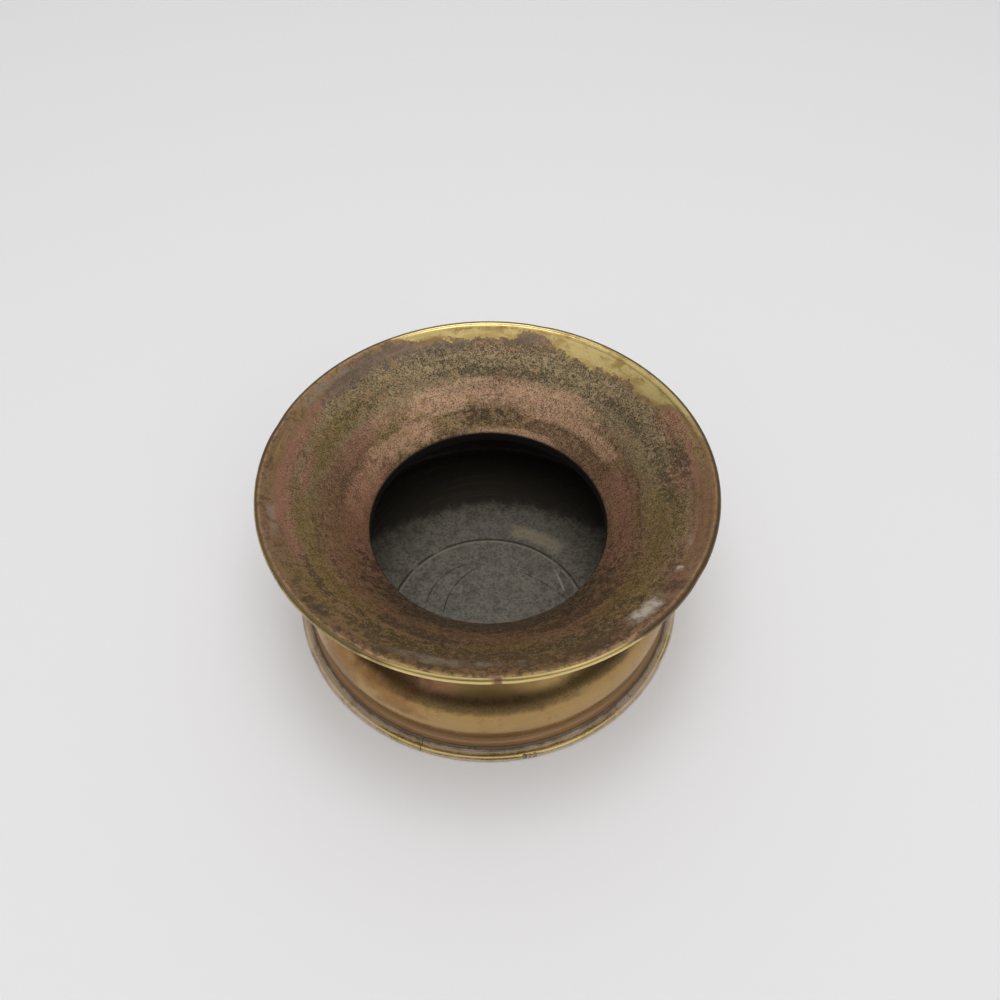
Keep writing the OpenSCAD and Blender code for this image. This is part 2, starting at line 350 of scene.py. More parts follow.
def spun(name, outer, inner, turn_steps, places):
    """A closed surface of revolution: out along outer and back along inner, carried round the axis.

    Point i, j is (r_i cos t_j, r_i sin t_j, z_i) after stray and dints. Profile points on the axis
    become one pole each. Returns the object and, per vertex, radius, height, angle, distance along
    the profile and whether it lies on the inner side.
    """
    profile = np.concatenate([outer, inner[::-1]])
    on_inner = np.arange(len(profile)) >= len(outer)
    along = np.concatenate([[0], np.cumsum(np.hypot(*np.diff(profile, axis=0).T))])
    ring = profile[:, 0] > 1e-9
    r, z = profile[ring].T
    n, m = len(r), turn_steps
    theta = np.linspace(-math.pi, math.pi, m, endpoint=False)
    rr, tt = np.meshgrid(r, theta, indexing="ij")
    zz = np.repeat(z[:, None], m, axis=1)
    mr, mz = dints(*stray(rr, zz, tt), tt, places)
    co = np.stack([mr * np.cos(tt), mr * np.sin(tt), mz], axis=-1).reshape(-1, 3)
    i, j = np.meshgrid(np.arange(n if ring.all() else n - 1), np.arange(m), indexing="ij")
    i2, j2 = (i + 1) % n, (j + 1) % m
    quads = np.stack([i * m + j, i2 * m + j, i2 * m + j2, i * m + j2], axis=-1).reshape(-1, 4)
    faces = quads.tolist()
    poles = profile[~ring]
    if len(poles):
        co = np.concatenate([co, [[0, 0, poles[0][1]], [0, 0, poles[1][1]]]])
        j = np.arange(m)
        first = np.stack([np.full(m, n * m), j, (j + 1) % m], axis=1)
        last = np.stack([np.full(m, n * m + 1), (n - 1) * m + (j + 1) % m, (n - 1) * m + j], axis=1)
        faces += first.tolist() + last.tolist()
    mesh = bpy.data.meshes.new(name)
    mesh.from_pydata(co, [], faces)
    mesh.polygons.foreach_set("use_smooth", np.ones(len(faces), bool))
    mesh.set_sharp_from_angle(angle=math.radians(SHARP_DEG))
    mesh.update()
    obj = bpy.data.objects.new(name, mesh)
    bpy.context.scene.collection.objects.link(obj)
    extra = len(poles)
    flat = {
        "r": np.append(rr.ravel(), [0] * extra),
        "z": np.append(zz.ravel(), poles[:, 1]),
        "theta": np.append(tt.ravel(), [0] * extra),
        "along": np.append(np.repeat(along[ring], m), along[~ring]),
        "inner": np.append(np.repeat(on_inner[ring], m), on_inner[~ring]).astype(float),
    }
    return obj, flat


def store(obj, **fields):
    """Keeps each array as a float attribute of the vertices, for the materials to read."""
    for name, values in fields.items():
        layer = obj.data.attributes.new(name, "FLOAT", "POINT")
        layer.data.foreach_set("value", np.asarray(values, np.float32))


# Patina fields, and fields of painted light and shade


def ramp(values, start_mm, end_mm):
    """0 at start_mm, 1 at end_mm and straight in between. The end may be the lower of the two."""
    return np.clip((values / MM - start_mm) / (end_mm - start_mm), 0, 1)


def around(values, middle, fall_mm, top=1.0):
    """top on the middle line, less by 1 for each fall_mm away from it, and kept between 0 and 1."""
    return np.clip(top - np.abs(values - middle) / (fall_mm * MM), 0, 1)


def patch(v, across, at_deg, at, half_deg, half):
    """A soft patch: 1 in its middle, 0.5 on its outline, 0 well outside.

    The distance is the fourth root of the summed fourth powers of angle and radius or height, each
    over its half size, so the patch is a rectangle with round corners.
    """
    turn = (np.degrees(v["theta"]) - at_deg + 180) % 360 - 180
    far = ((turn / half_deg) ** 4 + ((v[across] - at * MM) / (half * MM)) ** 4) ** 0.25
    return np.clip(1.5 - far, 0, 1)


def patches(v, places, across="r"):
    """The strongest of several patches at each point, placed by radius or by height."""
    return np.max([patch(v, across, *p) for p in places], axis=0)


def round_axis(v, table):
    """The columns of a table of [degrees, value, ...], each run straight from row to row round the axis."""
    at, *columns = np.array(table).T
    return [np.interp(np.degrees(v["theta"]), at, column, period=360) for column in columns]


def shore(v, line):
    """A field that is 0.5 on a line of [degrees, radius in mm, reach in mm] and rises outwards by 1 over the
    reach, so a long reach gives a coast that noise can tear."""
    edge, reach = round_axis(v, line)
    return np.clip(0.5 + (v["r"] / MM - edge) / reach, 0, 1)


# Inner edge of the clean metal along the rim: degrees, radius and reach in millimetres
CLEAN_EDGE = [
    (-170, 100.6, 2.5), (-150, 100.1, 1.6), (-112, 100.6, 1), (-106, 100.2, 0.4), (-90.1, 100.2, 0.4),
    (-89.5, 102, 0.4), (-87.5, 102, 0.4), (-86.9, 100.2, 0.4), (-60, 100.2, 0.4), (-57, 101.2, 0.6),
    (-44, 101, 2), (-20, 100.7, 2.5), (6, 100.4, 3), (12, 98.2, 4), (19, 97.2, 4), (25, 96, 5),
    (28, 91.6, 7), (36, 90.2, 7), (41, 92.4, 8), (46, 89.8, 7), (52, 89.4, 7), (58, 89, 7), (64, 90, 7),
    (68, 92.6, 8), (73, 95.8, 8), (79, 95.6, 8), (83, 91.6, 7), (88, 93.2, 8), (95, 92.4, 8), (100, 92.2, 8),
    (104, 94.6, 8), (108, 95, 7), (114, 94.8, 6), (117, 97.6, 4), (121, 99.8, 3), (140, 100.2, 2),
    (147, 99.4, 3), (154, 99, 3), (158, 100, 2),
]
# Brown tarnish and painted shade on the outer side of the rolled rim, and none along its front: degrees and
# share
RIM_TARNISH_AND_SHADE = [(-180, 0.5), (-120, 0.5), (-112, 0), (-58, 0), (-54, 0.7), (0, 0.7), (10, 1), (170, 1)]
# The front of that side, where a painted highlight lies along the rim, with a brown break in its middle:
# degrees and share
FRONT_HIGHLIGHT = [(-114, 0), (-110, 1), (-89.6, 1), (-89.2, 0), (-87.6, 0), (-87.2, 1), (-60, 1), (-57, 0)]
# How bright the rolled foot is rubbed: degrees and share
FOOT_RUBBED = [
    (-180, 0.5), (-150, 0.4), (-128, 0.45), (-118, 1), (-58, 1), (-52, 0.5), (-34, 0.45), (-29, 0.9),
    (-24, 0.85), (-18, 0.4), (60, 0.9), (120, 0.9), (150, 0.5),
]
# Patches on the mouth: middle in degrees, middle radius, half width in degrees, half width in millimetres
MOUTH_PATCHES = {
    "tan": [(84, 83, 84, 6.6), (34, 78, 44, 6), (120, 75, 40, 4)],
    "salmon": [(88, 70.6, 42, 4.6), (72, 57, 22, 1.3), (48, 66.5, 24, 2.6), (150, 62, 26, 4)],
    "copper": [
        (-88.5, 100.4, 1.6, 2.6), (-96, 71, 44, 6), (-58, 66, 24, 5), (158, 69, 30, 9), (-160, 64, 30, 9),
        (30, 61, 34, 5), (-176, 90, 20, 3.4), (-24, 94, 26, 4.4),
    ],
    "rose": [
        (18, 92, 6.5, 4.4), (4, 89, 7, 4), (-176, 90, 9, 3), (-158, 88, 8, 2.2), (166, 90, 12, 3),
        (148, 91.6, 8, 2), (174, 82.6, 7, 1.6), (176, 61, 22, 4.4), (-156, 60.6, 18, 4), (4, 62, 15, 5),
        (-24, 62, 14, 5), (150, 72, 12, 3),
    ],
    "olive": [
        (-90, 87.5, 46, 4.6), (-148, 82, 24, 4.4), (-26, 80, 28, 6), (154, 81, 18, 3), (134, 67, 9, 3.6),
    ],
    "plum": [(128, 92.6, 20, 4), (104, 90.2, 13, 2.2), (78, 92.6, 8, 3.4)],
    "soot": [
        (84, 78.4, 20, 2), (37, 80.8, 10, 1.8), (7, 80.6, 11, 2.2), (90, 62.4, 11, 2.6), (-90, 61, 60, 6),
    ],
    "umber": [
        (-90, 62, 56, 7), (-88, 90.4, 42, 7.4), (-60, 72, 20, 3), (-112, 78, 14, 3), (-144, 86.8, 11, 1.5),
        (-99, 90, 7, 1.2), (-74, 92, 10, 2), (8, 88, 6, 3),
    ],
    "chalk": [(-48.5, 93, 5, 3), (-33, 92.4, 0.7, 1.4)],
    "dust": [(-97, 93.4, 13, 2), (-166, 94.6, 6, 1.4), (-26, 91.4, 4, 1.4), (146, 96.4, 9, 1.6)],
}
# Angle where the mouth is most speckled and crazed, the least share of specks and what that side adds
MOST_SPECKLED = 60
SPECKS_LEAST, SPECKS_MORE = 0.64, 0.28
# How much smoother the rim is than the rest, and the one patch near it that is as speckled as the rest
RIM_CALM = 0.7
SPECKLED_ROSE = (16, 91, 14, 6)
# Least share of the crazing near the throat
CRAZED_LEAST = 0.45
# Radii in millimetres from which to which a field of the mouth rises, or falls where the second is smaller
CRAZED_RISE, CRAZED_FALL = (74, 80), (94, 88)
CALM_RISE = (88, 94)
OUTLINE_RISE = (98.6, 99.8)
LIP_RISE = (100.1, 100.5)
# The same, counted from the throat, for the painted shade that makes the collar nearly black
DEEP_FALL = (0.6, 0.3)
# Patches on the belly: middle in degrees, middle height, half width in degrees, half width in millimetres
BELLY_PATCHES = {
    "amber": [(-122, 35, 12, 8), (-117, 27, 7, 5), (-138, 27, 8, 7), (60, 30, 24, 8)],
    # The first rose patch, on the front left, is a painted pinkish highlight
    "rose": [(-108, 40, 8, 3), (-30, 18, 10, 4)],
    # Painted reflection: a dark band round the belly under the rim
    "sooted": [
        (-96, 35, 30, 3.4), (-54, 37.5, 13, 3.4), (-122, 40, 12, 3), (170, 34, 30, 5), (80, 38, 30, 4),
    ],
}
# Heights in millimetres over which the waist's grime falls, and the shoulder's grime and the dullness rise
WAIST_FALL, SHOULDER_RISE, DULL_RISE = (12, 8.5), (36, 50), (22, 34)
SHOULDER_SHARE = 0.75
# Clean metal on the bead, dirt and painted shade in the crease and dirt in the groove: how far out each lies
# and how wide it falls off, in millimetres, and its top
BARE_OUT, BARE_W = 0.4, 2.2
CREASE_OUT, CREASE_W, CREASE_TOP = 0.25, 0.75, 1.85
GROOVE_W, GROOVE_TOP = 0.7, 1.2
# From which to which distance inside the flange's edge the floor inside begins
FLOOR_FALL = (-1, -1.5)
# Marks along arcs: colour, share, centre, radius and half width in millimetres, and the middle and half of
# their sweep in degrees. First the fine cracks and scratches across the ledge, and knocks on the bead
LEDGE_MARKS = [
    ("soot", 0.9, (25.5, -108.9), 60, 0.28, 160.8, 3.2),
    ("soot", 0.8, (107.3, -23.5), 60, 0.25, 224.5, 2.6),
    ("soot", 0.7, (15.4, -95.2), 0.7, 0.6, 0, 170),
    ("soot", 0.5, (17.6, -94.9), 0.5, 0.5, 0, 170),
    ("soot", 0.6, (20, -94.4), 0.6, 0.5, 0, 170),
    ("soot", 0.6, (-9.4, -91.4), 0.5, 0.6, 0, 170),
    ("soot", 0.6, (-6.9, -91.5), 0.4, 0.5, 0, 170),
    ("soot", 0.7, (-44.5, -80.8), 60, 0.2, 118, 2),
]
# Then what things left on the floor inside
FLOOR_MARKS = [
    ("sand", 0.2, (0, -27.6), 57, 6, 63, 14),
    ("sand", 0.16, (-0.3, -27.6), 48.5, 0.9, 90, 85),
    ("soot", 0.9, (-0.3, -27.6), 49.9, 0.9, 90, 85),
    ("soot", 0.8, (-4.2, -20.2), 27.6, 0.5, 139, 34),
    ("soot", 0.85, (11.6, -25.6), 34.7, 0.5, 148, 28),
    ("soot", 0.8, (-35, -93.5), 108.1, 0.5, 54, 7),
    ("chalk", 0.3, (-34.8, -26.1), 74.7, 0.8, 17, 5),
]
# The faint line that the rolling left along the back of the rim
ROLLED_LINE = ((0, 0), 97.4, 0.9, 65, 53)


# Materials


def add(tree, kind, ins=None, give=0, **settings):
    """Adds a node with its settings, sets or links its inputs by name or number, and gives one output."""
    n = tree.nodes.new(kind)
    for key, value in settings.items():
        setattr(n, key, value)
    for key, value in (ins or {}).items():
        if isinstance(value, bpy.types.NodeSocket):
            tree.links.new(value, n.inputs[key])
        else:
            n.inputs[key].default_value = value
    return n.outputs[give] if n.outputs else None


def new_material(name):
    """An empty node material with its shader and output."""
    mat = bpy.data.materials.new(name)
    mat.use_nodes = True
    tree = mat.node_tree
    tree.nodes.clear()
    shader = add(tree, "ShaderNodeBsdfPrincipled")
    add(tree, "ShaderNodeOutputMaterial", {"Surface": shader})
    return mat, tree, shader.node


def field(tree, name):
    """An attribute of the piece as a number."""
    return add(tree, "ShaderNodeAttribute", attribute_name=name, give="Fac")


def grain(tree, size_mm, detail=4, rough=0.55):
    """Cloudy noise whose coarsest blots are about size_mm across, on the object's own place."""
    where = add(tree, "ShaderNodeTexCoord", give="Object")
    ins = {"Vector": where, "Scale": 1 / (size_mm * MM), "Detail": detail, "Roughness": rough}
    return add(tree, "ShaderNodeTexNoise", ins)


def outwards(tree, where):
    """A place as seen from above, at height 0, and its direction from the middle."""
    flat = add(tree, "ShaderNodeVectorMath", {0: where, 1: (1, 1, 0)}, operation="MULTIPLY")
    return flat, add(tree, "ShaderNodeVectorMath", {0: flat}, operation="NORMALIZE")


def streaks(tree, width_mm, round_count, detail=3):
    """Noise drawn out round the axis, as the spinning tool and the rag leave it: read at (cos, sin) of the
    angle times round_count and at the distance along the profile over width_mm, so it has no seam."""
    where = add(tree, "ShaderNodeTexCoord", give="Object")
    way = outwards(tree, where)[1]
    scaled = add(tree, "ShaderNodeVectorMath", {0: way, 3: round_count}, operation="SCALE")
    ins = {0: field(tree, "along"), 1: 1 / (width_mm * MM)}
    height = add(tree, "ShaderNodeMath", ins, operation="MULTIPLY")
    up = add(tree, "ShaderNodeCombineXYZ", {"Z": height})
    vector = add(tree, "ShaderNodeVectorMath", {0: scaled, 1: up}, operation="ADD")
    ins = {"Vector": vector, "Scale": 1, "Detail": detail, "Roughness": 0.6}
    return add(tree, "ShaderNodeTexNoise", ins)


def between(tree, value, low, high):
    """0 below low, 1 above high and a smooth step in between."""
    return add(tree, "ShaderNodeMapRange", {0: value, 1: low, 2: high}, interpolation_type="SMOOTHSTEP")


def mask_of(tree, mask):
    """A mask given as a socket or number, as a field's name, or as the (value, low, high) of between."""
    if isinstance(mask, str):
        return field(tree, mask)
    return between(tree, *mask) if isinstance(mask, tuple) else mask


def ragged(tree, soft_field, pushes, edge=0.06):
    """A mask with a torn outline: the field's half line, pushed about by each (noise, bite) in turn."""
    moved = mask_of(tree, soft_field)
    for noise, bite in pushes:
        push = add(tree, "ShaderNodeMath", {0: noise, 1: 0.5}, operation="SUBTRACT")
        moved = add(tree, "ShaderNodeMath", {0: push, 1: bite, 2: moved}, operation="MULTIPLY_ADD")
    return between(tree, moved, 0.5 - edge, 0.5 + edge)


def both(tree, a, b):
    """Two masks multiplied."""
    ins = {0: mask_of(tree, a), 1: mask_of(tree, b)}
    return add(tree, "ShaderNodeMath", ins, operation="MULTIPLY", use_clamp=True)


def coat(tree, under, mask, colour, rough, metal):
    """One coat laid over what is under it where the mask is 1: its colour, roughness and metallic share."""
    above = (srgb(colour), rough, metal)
    kinds = (("RGBA", 6, 7, 2), ("FLOAT", 2, 3, 0), ("FLOAT", 2, 3, 0))
    out = []
    for below, top, (kind, a, b, result) in zip(under, above, kinds):
        out.append(add(tree, "ShaderNodeMix", {0: mask, a: below, b: top}, result, data_type=kind))
    return out


def coats(tree, look, layers):
    """Lays coats on one another, each given as share, mask, colour, roughness and metallic share."""
    for share, mask, *finish in layers:
        look = coat(tree, look, mask_of(tree, mask) if share == 1 else both(tree, mask, share), *finish)
    return look


def finish_metal(tree, shader, look, heights):
    """Joins the last coat and the bumps to the shader. heights is a list of (noise, depth in mm)."""
    for socket, value in zip(("Base Color", "Roughness", "Metallic"), look):
        tree.links.new(value, shader.inputs[socket])
    normal = None
    for noise, depth in heights:
        ins = {"Height": noise, "Distance": depth * MM, "Strength": 1}
        if normal:
            ins["Normal"] = normal
        normal = add(tree, "ShaderNodeBump", ins)
    tree.links.new(normal, shader.inputs["Normal"])


def crackle(tree, size_mm, width):
    """Thin worm-like lines: 1 where a noise is within width of its middle value."""
    off = add(tree, "ShaderNodeMath", {0: grain(tree, size_mm, 3, 0.6), 1: 0.5}, operation="SUBTRACT")
    near = add(tree, "ShaderNodeMath", {0: off}, operation="ABSOLUTE")
    return between(tree, near, width, width * 0.3)


def arc_mark(tree, centre_mm, radius_mm, width_mm, middle_deg, half_deg):
    """1 on a thin arc about centre_mm, seen from above, fading towards its ends."""
    where = add(tree, "ShaderNodeTexCoord", give="Object")
    centre = (centre_mm[0] * MM, centre_mm[1] * MM, 0)
    away = add(tree, "ShaderNodeVectorMath", {0: where, 1: centre}, operation="SUBTRACT")
    flat, way = outwards(tree, away)
    far = add(tree, "ShaderNodeVectorMath", {0: flat}, operation="LENGTH", give="Value")
    off = add(tree, "ShaderNodeMath", {0: far, 1: radius_mm * MM}, operation="SUBTRACT")
    near = add(tree, "ShaderNodeMath", {0: off}, operation="ABSOLUTE")
    line = between(tree, near, width_mm * MM, width_mm * 0.3 * MM)
    aim = math.radians(middle_deg)
    ins = {0: way, 1: (math.cos(aim), math.sin(aim), 0)}
    turn = add(tree, "ShaderNodeVectorMath", ins, "Value", operation="DOT_PRODUCT")
    ends = [math.cos(math.radians(min(half_deg * part, 180))) for part in (1.2, 0.8)]
    return both(tree, line, between(tree, turn, *ends))


def patinated_spun_brass(c):
    """Spun brass left to weather and rubbed now and then: a satin brown coat in bands round the axis, copper
    pink, tan, olive and soot black, speckled at 0.4 to 1 mm, with black crazing 1 to 2 mm apart, torn away to
    clean metal along the back of the rim, and soft chalky smears at the front. Painted light and shade: a
    bright gold highlight along the front of the rolled rim, brown tarnish with painted shade on its outer
    side, and the collar under the throat coloured nearly black."""
    mat, tree, shader = new_material("patinated_spun_brass")
    blots = grain(tree, 26, 5, 0.6)
    clouds = grain(tree, 11, 6, 0.65)
    torn = grain(tree, 7, 9, 0.72)
    clots = grain(tree, 2.6, 4, 0.7)
    grit = grain(tree, 0.7, 4, 0.75)
    lines = streaks(tree, 2.4, 2.4, 6)
    wiped = streaks(tree, 5, 5, 5)
    fine_rings = streaks(tree, 0.5, 14)
    bare, speckled = field(tree, "bare"), field(tree, "speckled")
    far = [(torn, 5), (blots, 2), (clots, 2.6)]
    coast = [(torn, 1.7), (clots, 0.5)]
    # Roughness and metallic share of coats that come more than once
    satin, coppery, dull, matt = (0.38, 0.85), (0.42, 0.75), (0.46, 0.7), (0.46, 0.65)

    def zone(name, pushes=far, edge=0.4):
        place = field(tree, name)
        return both(tree, ragged(tree, place, pushes, edge), (place, 0, 0.3))

    dark = both(tree, (grit, 0.5, 0.57), (clots, 0.38, 0.54))
    pale = both(tree, (grit, 0.48, 0.4), (clots, 0.62, 0.46))
    crazed = both(tree, crackle(tree, 2.6, 0.035), ragged(tree, "crazed", [(torn, 3)], 0.3))
    shored = add(tree, "ShaderNodeMath", {0: bare, 1: 0.04}, operation="ADD")
    stained = both(tree, (wiped, 0.46, 0.6), (torn, 0.38, 0.56))
    thin = both(tree, (bare, 0.95, 0.5), (torn, 0.42, 0.56))
    pits = both(tree, (grit, 0.6, 0.68), (torn, 0.46, 0.6))
    smeared = (torn, 0.36, 0.62)
    layers = [
        # Clouds, blots and clots all over
        (0.6, (blots, 0.42, 0.6), c.olive, *satin),
        (0.5, (clouds, 0.5, 0.62), c.copper, *coppery),
        (0.6, (torn, 0.5, 0.64), c.umber, *dull),
        (0.5, (clots, 0.5, 0.59), c.umber, *dull),
        (0.4, (clots, 0.46, 0.36), c.copper, *dull),
        # Bands and patches
        (0.75, zone("copper"), c.copper, *coppery),
        (0.85, zone("tan"), c.tan, *matt),
        (0.75, zone("olive"), c.olive, *satin),
        (0.85, zone("salmon"), c.salmon, *matt),
        (0.7, zone("rose", [(torn, 5), (clots, 5), (grit, 5)], 0.3), c.rose, *matt),
        (0.85, zone("plum", [(torn, 3), (clots, 1)], 0.2), c.plum, 0.44, 0.6),
        # Lines round the axis
        (0.4, (lines, 0.5, 0.72), c.umber, *dull),
        (0.3, (lines, 0.46, 0.3), c.old_gold, 0.36, 0.9),
        # Dark places, specks and crazing
        (0.7, zone("umber", [(torn, 3.6), (clots, 1.6)], 0.25), c.umber, *dull),
        (0.42, zone("soot", [(torn, 3), (clots, 3)]), c.soot, 0.56, 0.5),
        (0.9, both(tree, dark, speckled), c.soot, 0.55, 0.5),
        (0.75, both(tree, pale, speckled), c.sand, 0.5, 0.6),
        (0.8, crazed, c.soot, 0.6, 0.4),
        # Clean metal with a dark shore and stains on it
        (0.5, ragged(tree, shored, coast, 0.05), c.umber, 0.5, 0.6),
        (1, ragged(tree, bare, coast, 0.03), c.bare, 0.15, 1),
        (0.8, both(tree, stained, bare), c.stain, 0.3, 0.95),
        (0.5, both(tree, thin, (bare, 0.3, 0.5)), c.stain, 0.26, 1),
        # The outer side of the rolled rim, brown tarnish with painted shade, and its front, a painted
        # highlight
        (0.85, ragged(tree, "outline", [(torn, 0.6)], 0.3), c.umber, 0.45, 0.7),
        (0.85, "front_bead", c.lip, 0.36, 1),
        (0.6, both(tree, pits, bare), c.umber, *coppery),
        # Dust and crust, and painted shade that makes the collar nearly black
        (0.26, both(tree, zone("dust", [(torn, 3), (blots, 2)], 0.7), smeared), c.chalk, 0.7, 0.2),
        (0.8, both(tree, zone("chalk", [(torn, 3)], 0.7), smeared), c.chalk, 0.75, 0.1),
        (1, "deep", c.pitch, 0.7, 0.1),
    ]
    look = coats(tree, (srgb(c.brown), 0.4, 0.8), layers)
    rolled = arc_mark(tree, *ROLLED_LINE)
    finish_metal(tree, shader, look, [(torn, 0.04), (grit, 0.03), (fine_rings, 0.005), (rolled, 0.1)])
    return mat


def polished_spun_brass(c):
    """Spun brass kept by a rag: soft reflections with faint rings 2 mm apart, brown tarnish where it
    can't reach in the coves, amber patches, a painted dark reflection in a band under the rim with specks of
    1 mm in it, a painted pinkish highlight on the belly's front left, and painted shade that makes the wall
    inside nearly black."""
    mat, tree, shader = new_material("polished_spun_brass")
    blots = grain(tree, 26, 5, 0.6)
    torn = grain(tree, 7, 8, 0.68)
    grit = grain(tree, 0.7, 4, 0.7)
    rings = streaks(tree, 1.8, 2.5, 4)
    fine_rings = streaks(tree, 0.45, 12)
    inner = field(tree, "inner")
    reflection_band = ragged(tree, "sooted", [(torn, 1.4)], 0.45)
    specks = both(tree, (grit, 0.58, 0.68), (torn, 0.46, 0.62))
    scoured = (streaks(tree, 3, 1.2, 8), 0.45, 0.7)
    layers = [
        (0.75, "dull", c.stain, 0.3, 0.95),
        (0.25, (blots, 0.48, 0.72), c.stain, 0.26, 1),
        (0.2, (rings, 0.5, 0.7), c.stain, 0.28, 1),
        (0.7, ragged(tree, "amber", [(torn, 2), (blots, 1)], 0.5), c.amber, 0.28, 0.95),
        # On the belly's front left this gives a painted pinkish highlight
        (0.5, ragged(tree, "rose", [(torn, 1.2)], 0.5), c.rose, 0.3, 0.95),
        (0.75, ragged(tree, "grime", [(torn, 1.2)], 0.4), c.brown, 0.55, 0.5),
        # Painted reflection: the dark band under the rim, with specks in it
        (0.5, reflection_band, c.soot, 0.3, 0.95),
        (0.4, both(tree, (grit, 0.46, 0.6), reflection_band), c.soot, 0.4, 0.8),
        (0.35, specks, c.soot, 0.5, 0.5),
        # Painted shade: the whole inner side coloured nearly black, then lighter scoured streaks
        (1, inner, c.cellar, 0.55, 0.3),
        (0.4, both(tree, inner, scoured), c.inside, 0.5, 0.4),
    ]
    look = coats(tree, (srgb(c.old_gold), 0.24, 1), layers)
    finish_metal(tree, shader, look, [(torn, 0.015), (grit, 0.005), (fine_rings, 0.004)])
    return mat


def worn_foot_brass(c):
    """The pan's spun brass: bright gold where the rolled foot is rubbed, a dull pinkish ledge, dirt and
    painted shade in the crease, and a grey floor with specks of 1.3 mm, scratched in arcs by what was stood
    in it, with a painted shadow laid over its back."""
    mat, tree, shader = new_material("worn_foot_brass")
    blots = grain(tree, 20, 5, 0.6)
    torn = grain(tree, 6, 8, 0.68)
    grit = grain(tree, 1.3, 4, 0.7)
    fine_rings = streaks(tree, 0.4, 14)
    grime, floor = field(tree, "grime"), field(tree, "inner_floor")
    specks = both(tree, (grit, 0.56, 0.68), (blots, 0.42, 0.6))
    worn = (torn, 0.34, 0.5)
    # The painted shadow over the back of the floor inside
    shadowed_floor = ragged(tree, "far_floor", [(torn, 0.8), (grit, 0.4)], 0.3)
    scoured = both(tree, (streaks(tree, 1.4, 1.4, 8), 0.46, 0.66), (grit, 0.4, 0.6))
    marked = (0.6, 0.3)
    layers = [
        # Ledge, rolled foot, groove and crease
        (0.3, (blots, 0.46, 0.7), c.brown, 0.45, 0.6),
        (0.25, (torn, 0.5, 0.66), c.brown, 0.45, 0.6),
        (0.9, ragged(tree, "bare", [(torn, 1.2)], 0.15), c.bare, 0.22, 1),
        (0.4, ragged(tree, "groove", [(torn, 1.2)], 0.3), c.umber, 0.5, 0.6),
        # Dirt and painted shade in the crease under the flange's edge
        (0.75, ragged(tree, grime, [(torn, 1.6)], 0.45), c.umber, 0.5, 0.8),
        (0.25, ragged(tree, grime, [(torn, 3)], 0.6), c.soot, 0.5, 0.8),
        (0.4, specks, c.soot, *marked),
    ]
    for colour, share, *arc in LEDGE_MARKS:
        layers.append((share, arc_mark(tree, *arc), getattr(c, colour), *marked))
    layers += [
        # Floor inside
        (1, floor, c.inside, 0.5, 0.35),
        (0.5, both(tree, floor, (torn, 0.42, 0.68)), c.cellar, *marked),
        (0.55, both(tree, floor, (grit, 0.46, 0.6)), c.cellar, *marked),
    ]
    for colour, share, *arc in FLOOR_MARKS:
        broken = both(tree, arc_mark(tree, *arc), worn)
        layers.append((share, both(tree, broken, floor), getattr(c, colour), *marked))
    layers += [
        # Painted shadow over the back of the floor inside, with faint lighter streaks in it
        (0.92, both(tree, floor, shadowed_floor), c.soot, 0.6, 0.25),
        (0.2, both(tree, shadowed_floor, scoured), c.inside, 0.5, 0.4),
    ]
    look = coats(tree, (srgb(c.ledge), 0.42, 0.5), layers)
    finish_metal(tree, shader, look, [(torn, 0.04), (grit, 0.015), (fine_rings, 0.008)])
    return mat


def dull_metal(name, colour, dark, rough, metal, blot_mm, depth):
    """A dull metal in two shades, with a bump of the same blots."""
    mat, tree, shader = new_material(name)
    blots = grain(tree, blot_mm, 6, 0.6)
    blotted = between(tree, blots, 0.4, 0.65)
    look = coat(tree, (srgb(colour), rough, metal), blotted, dark, rough + 0.12, metal * 0.7)
    finish_metal(tree, shader, look, [(blots, depth)])
    return mat


def keep_node(name, material):
    """Gives a CAD node whose shape is right its finish."""
    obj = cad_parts[name]
    obj.data.materials.clear()
    obj.data.materials.append(material)


def place_piece(obj, node_name, material):
    """A new piece stands for its CAD node and rides on the body."""
    obj.data.materials.append(material)
    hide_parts(node_name)
    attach(obj, BODY)


class SPITTOON_OT_mouth(bpy.types.Operator):
    """Build the flared mouth with its rolled rim and throat collar"""

    bl_idname = "spittoon.mouth"
    bl_label = "Mouth"

    def execute(self, context):
        s, c = context.scene.spittoon_sizes, context.scene.spittoon_colours
        face = mouth_side(s, 0, MOUTH_STEPS)
        under = mouth_side(s, s.sheet, MOUTH_UNDER_STEPS)
        obj, v = spun("mouth", face, under, TURN_STEPS, RIM_DINTS)
        r, upper = v["r"], 1 - v["inner"]
        toward = 0.5 + 0.5 * np.cos(v["theta"] - math.radians(MOST_SPECKLED))
        rough = 1 - RIM_CALM * ramp(r, *CALM_RISE)
        # Shares of brown tarnish with painted shade on the rim's outer side, and of painted highlight along
        # its front
        (tarnish_and_shade,), (rubbed,) = round_axis(v, RIM_TARNISH_AND_SHADE), round_axis(v, FRONT_HIGHLIGHT)
        store(
            obj,
            along=v["along"],
            bare=shore(v, CLEAN_EDGE) * upper,
            crazed=toward * ramp(r, *CRAZED_FALL) * np.maximum(ramp(r, *CRAZED_RISE), CRAZED_LEAST),
            speckled=(SPECKS_LEAST + SPECKS_MORE * toward) * np.maximum(rough, patch(v, "r", *SPECKLED_ROSE)),
            # Brown tarnish with painted shade on the outer side of the rolled rim
            outline=ramp(r, *OUTLINE_RISE) * tarnish_and_shade,
            # A painted highlight along the front of the rolled rim
            front_bead=ramp(r, *LIP_RISE) * rubbed,
            # Painted shade on the collar under the throat
            deep=ramp(r - s.throat_r, *DEEP_FALL) * upper,
            **{name: patches(v, places) * upper for name, places in MOUTH_PATCHES.items()},
        )
        place_piece(obj, "funnel", patinated_spun_brass(c))
        return {"FINISHED"}


